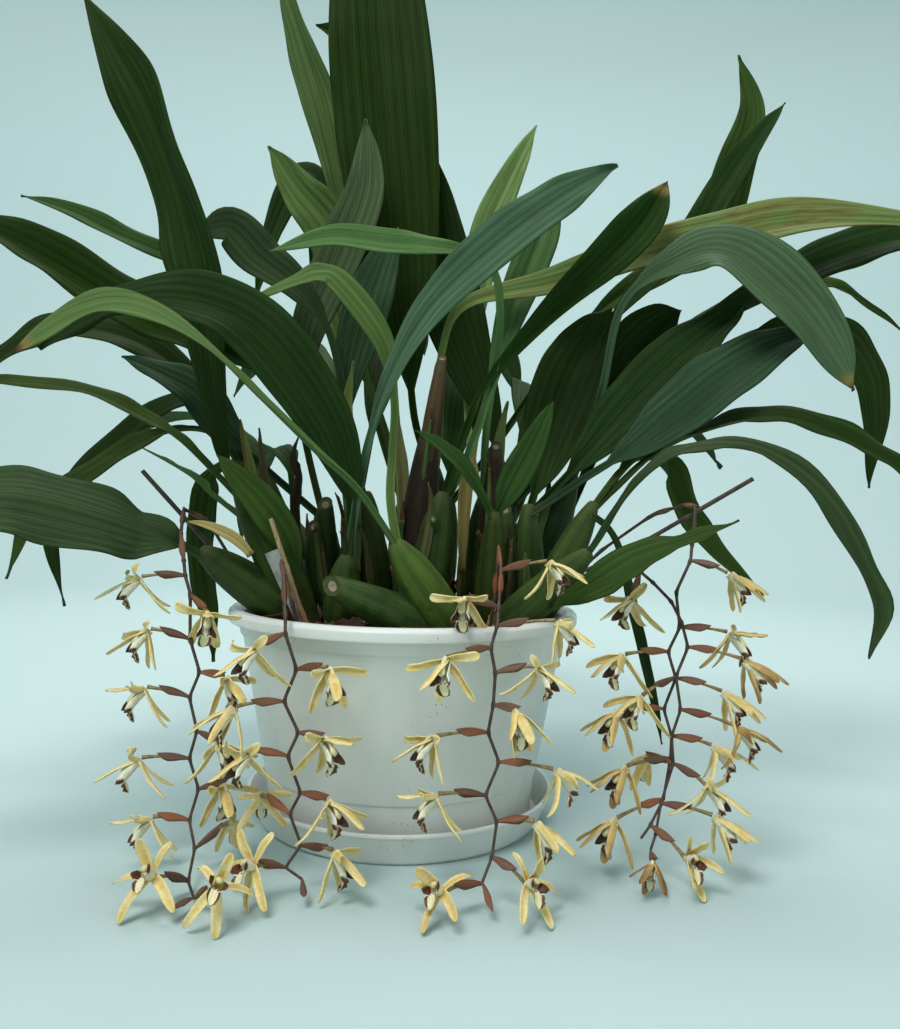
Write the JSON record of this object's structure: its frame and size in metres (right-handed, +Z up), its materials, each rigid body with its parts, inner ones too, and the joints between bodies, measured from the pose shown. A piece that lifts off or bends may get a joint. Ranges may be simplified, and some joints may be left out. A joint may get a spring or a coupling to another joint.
{
  "type": "coelogyne orchid",
  "caption": "Potted coelogyne orchid: pleated arching leaves on green pseudobulbs and hanging sprays of buff flowers, in a white plastic pot on its saucer.",
  "frame": {"origin": "centre of the saucer's underside, on the surface that the pot stands on", "axes": "+Z up, +X to the right and -Y to the front, the side that the flower sprays hang on"},
  "size_m": [0.797, 0.5577, 0.835],
  "materials": {
    "white_plastic": "satin, slightly translucent white, with faint smudges",
    "growing_medium": "damp dark bark and peat",
    "leaf": "satin, pleated lengthwise",
    "old_bulb": "matt, wrinkled, green to brown",
    "flower": "soft satin, buff, with a cream and brown lip",
    "dry_stalk": "matt, dry, red-brown",
    "label_plastic": "matt, weathered, blank",
    "stick": "matt, dark"
  },
  "bodies": {
    "root": {"saucer": "white_plastic", "pot": "white_plastic", "growing_medium": "growing_medium", "leafy_shoot_01": "leaf", "leafy_shoot_02": "leaf", "leafy_shoot_03": "leaf", "leafy_shoot_04": "leaf", "leafy_shoot_05": "leaf", "leafy_shoot_06": "leaf", "leafy_shoot_07": "leaf", "leafy_shoot_08": "leaf", "leafy_shoot_09": "leaf", "leafy_shoot_10": "leaf", "leafy_shoot_11": "leaf", "leafy_shoot_12": "leaf", "leafy_shoot_13": "leaf", "leafy_shoot_14": "leaf", "leafy_shoot_15": "leaf", "leafy_shoot_16": "leaf", "leafy_shoot_17": "leaf", "leafy_shoot_18": "leaf", "leafy_shoot_19": "leaf", "leafy_shoot_20": "leaf", "leafy_shoot_21": "leaf", "leafy_shoot_22": "leaf", "leafy_shoot_23": "leaf", "leafy_shoot_24": "leaf", "old_bulb_middle": "old_bulb", "old_bulbs_left": "old_bulb", "raceme_left": "flower", "raceme_centre_left": "flower", "raceme_centre_right": "flower", "raceme_pair_right": "flower", "old_flower_stalk": "dry_stalk", "plant_label": "label_plastic", "support_stick_left": "stick", "support_stick_right": "stick"}
  },
  "joints": []
}
